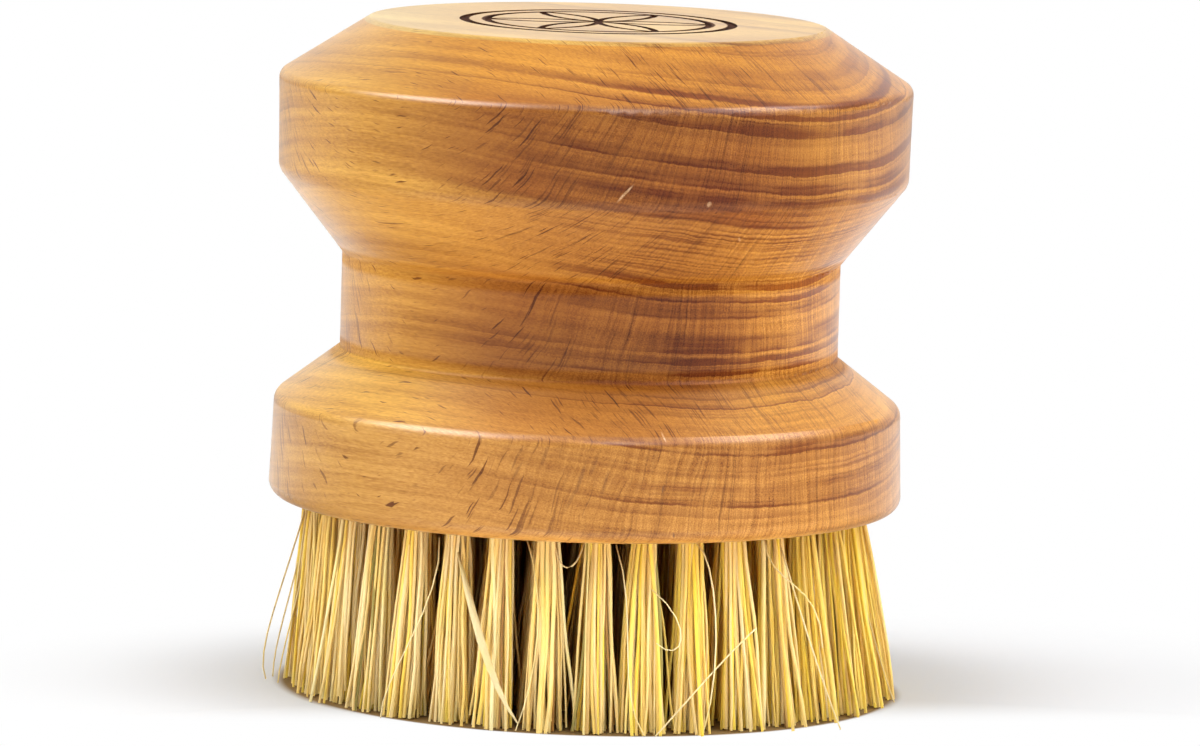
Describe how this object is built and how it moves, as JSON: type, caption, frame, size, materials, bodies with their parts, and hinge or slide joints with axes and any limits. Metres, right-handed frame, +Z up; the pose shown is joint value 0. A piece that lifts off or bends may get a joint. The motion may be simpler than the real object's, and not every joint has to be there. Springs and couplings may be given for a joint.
{
  "type": "palm brush",
  "caption": "Round turned wooden palm brush with a waisted grip, slanted shoulders and rings of stiff plant-fibre tufts anchored in drilled holes.",
  "frame": {"origin": "centre of the plane that the bristle tips stand on", "axes": "+Z up along the turning axis, from the tips to the flat top; -Y is the side that the picture shows, with +X on its right"},
  "size_m": [0.0698, 0.0698, 0.0738],
  "materials": {
    "turned_wood": "satin",
    "plant_fibre": "matte",
    "anchor_wire": "satin"
  },
  "bodies": {
    "root": {"handle": "turned_wood", "tuft_outer_01": "plant_fibre", "tuft_outer_02": "plant_fibre", "tuft_outer_03": "plant_fibre", "tuft_outer_04": "plant_fibre", "tuft_outer_05": "plant_fibre", "tuft_outer_06": "plant_fibre", "tuft_outer_07": "plant_fibre", "tuft_outer_08": "plant_fibre", "tuft_outer_09": "plant_fibre", "tuft_outer_10": "plant_fibre", "tuft_outer_11": "plant_fibre", "tuft_outer_12": "plant_fibre", "tuft_outer_13": "plant_fibre", "tuft_outer_14": "plant_fibre", "tuft_outer_15": "plant_fibre", "tuft_outer_16": "plant_fibre", "tuft_outer_17": "plant_fibre", "tuft_outer_18": "plant_fibre", "tuft_outer_19": "plant_fibre", "tuft_outer_20": "plant_fibre", "tuft_outer_21": "plant_fibre", "tuft_outer_22": "plant_fibre", "tuft_outer_23": "plant_fibre", "tuft_outer_24": "plant_fibre", "tuft_outer_25": "plant_fibre", "tuft_outer_26": "plant_fibre", "tuft_outer_27": "plant_fibre", "tuft_outer_28": "plant_fibre", "tuft_outer_29": "plant_fibre", "tuft_outer_30": "plant_fibre", "tuft_outer_31": "plant_fibre", "tuft_outer_32": "plant_fibre", "tuft_outer_33": "plant_fibre", "tuft_outer_34": "plant_fibre", "tuft_outer_35": "plant_fibre", "tuft_outer_36": "plant_fibre", "tuft_centre": "plant_fibre", "tufts_ring_1": "plant_fibre", "tufts_ring_2": "plant_fibre", "tufts_ring_3": "plant_fibre", "tufts_ring_4": "plant_fibre", "tufts_ring_5": "plant_fibre", "anchor_centre": "anchor_wire", "anchors_ring_1": "anchor_wire", "anchors_ring_2": "anchor_wire", "anchors_ring_3": "anchor_wire", "anchors_ring_4": "anchor_wire", "anchors_ring_5": "anchor_wire", "anchors_ring_6": "anchor_wire"}
  },
  "joints": []
}
